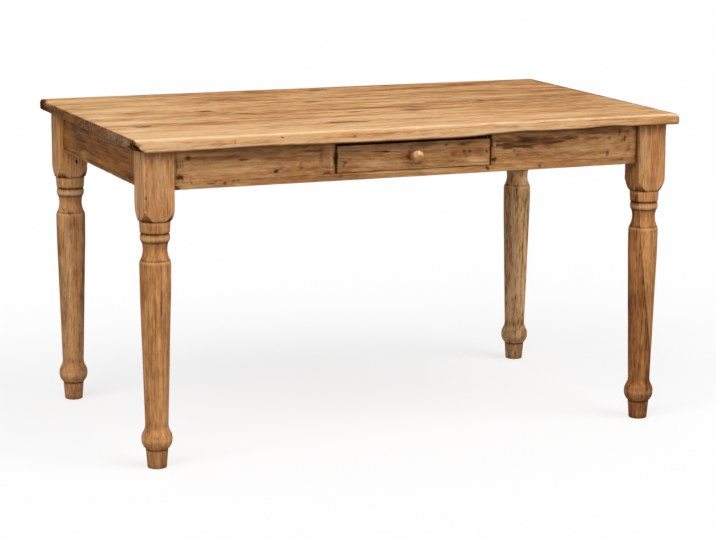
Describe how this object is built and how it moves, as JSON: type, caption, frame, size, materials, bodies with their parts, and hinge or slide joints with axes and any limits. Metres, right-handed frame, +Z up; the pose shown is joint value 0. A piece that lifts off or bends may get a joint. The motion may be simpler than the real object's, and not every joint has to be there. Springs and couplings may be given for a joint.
{
  "type": "dining table",
  "caption": "Rectangular rustic pine dining table with a plank top, turned legs, aprons and one inset drawer that slides out at the front.",
  "frame": {"origin": "on the floor under the middle of the top", "axes": "+X along the length to the right as seen from the drawer side, +Y to the back, +Z up; the drawer faces -Y"},
  "size_m": [1.372, 0.8, 0.762],
  "materials": {
    "top_pine": "waxed, worn satin",
    "leg_pine": "waxed, worn satin",
    "apron_pine": "waxed, worn satin",
    "knob_pine": "waxed, handled smooth",
    "inner_pine": "planed, unfinished",
    "fixing_steel": "dull zinc"
  },
  "bodies": {
    "table": {"top_board_1": "top_pine", "top_board_2": "top_pine", "top_board_3": "top_pine", "top_board_4": "top_pine", "top_board_5": "top_pine", "top_board_6": "top_pine", "top_board_7": "top_pine", "top_tongues": "inner_pine", "leg_front_left": "leg_pine", "leg_front_right": "leg_pine", "leg_back_left": "leg_pine", "leg_back_right": "leg_pine", "front_rail": "apron_pine", "front_apron_left": "apron_pine", "front_apron_right": "apron_pine", "back_apron": "apron_pine", "left_end_apron": "apron_pine", "right_end_apron": "apron_pine", "corner_block_front_left": "inner_pine", "corner_block_front_right": "inner_pine", "corner_block_back_left": "inner_pine", "corner_block_back_right": "inner_pine", "top_buttons": "inner_pine", "drawer_runner_left": "inner_pine", "drawer_runner_right": "inner_pine", "drawer_guide_left": "inner_pine", "drawer_guide_right": "inner_pine", "drawer_kicker_left": "inner_pine", "drawer_kicker_right": "inner_pine", "drawer_stop_left": "inner_pine", "drawer_stop_right": "inner_pine", "corner_block_screws": "fixing_steel", "top_button_screws": "fixing_steel", "guide_screws": "fixing_steel", "kicker_screws": "fixing_steel"},
    "drawer": {"drawer_front": "apron_pine", "drawer_side_left": "inner_pine", "drawer_side_right": "inner_pine", "drawer_back": "inner_pine", "drawer_bottom": "inner_pine", "drawer_bottom_nails": "fixing_steel", "drawer_knob": "knob_pine", "knob_screw": "fixing_steel"}
  },
  "joints": [
    {"name": "drawer_slide", "type": "slide", "parent": "table", "child": "drawer", "axis": [0, -1, 0], "range_m": [0, 0.3]}
  ]
}
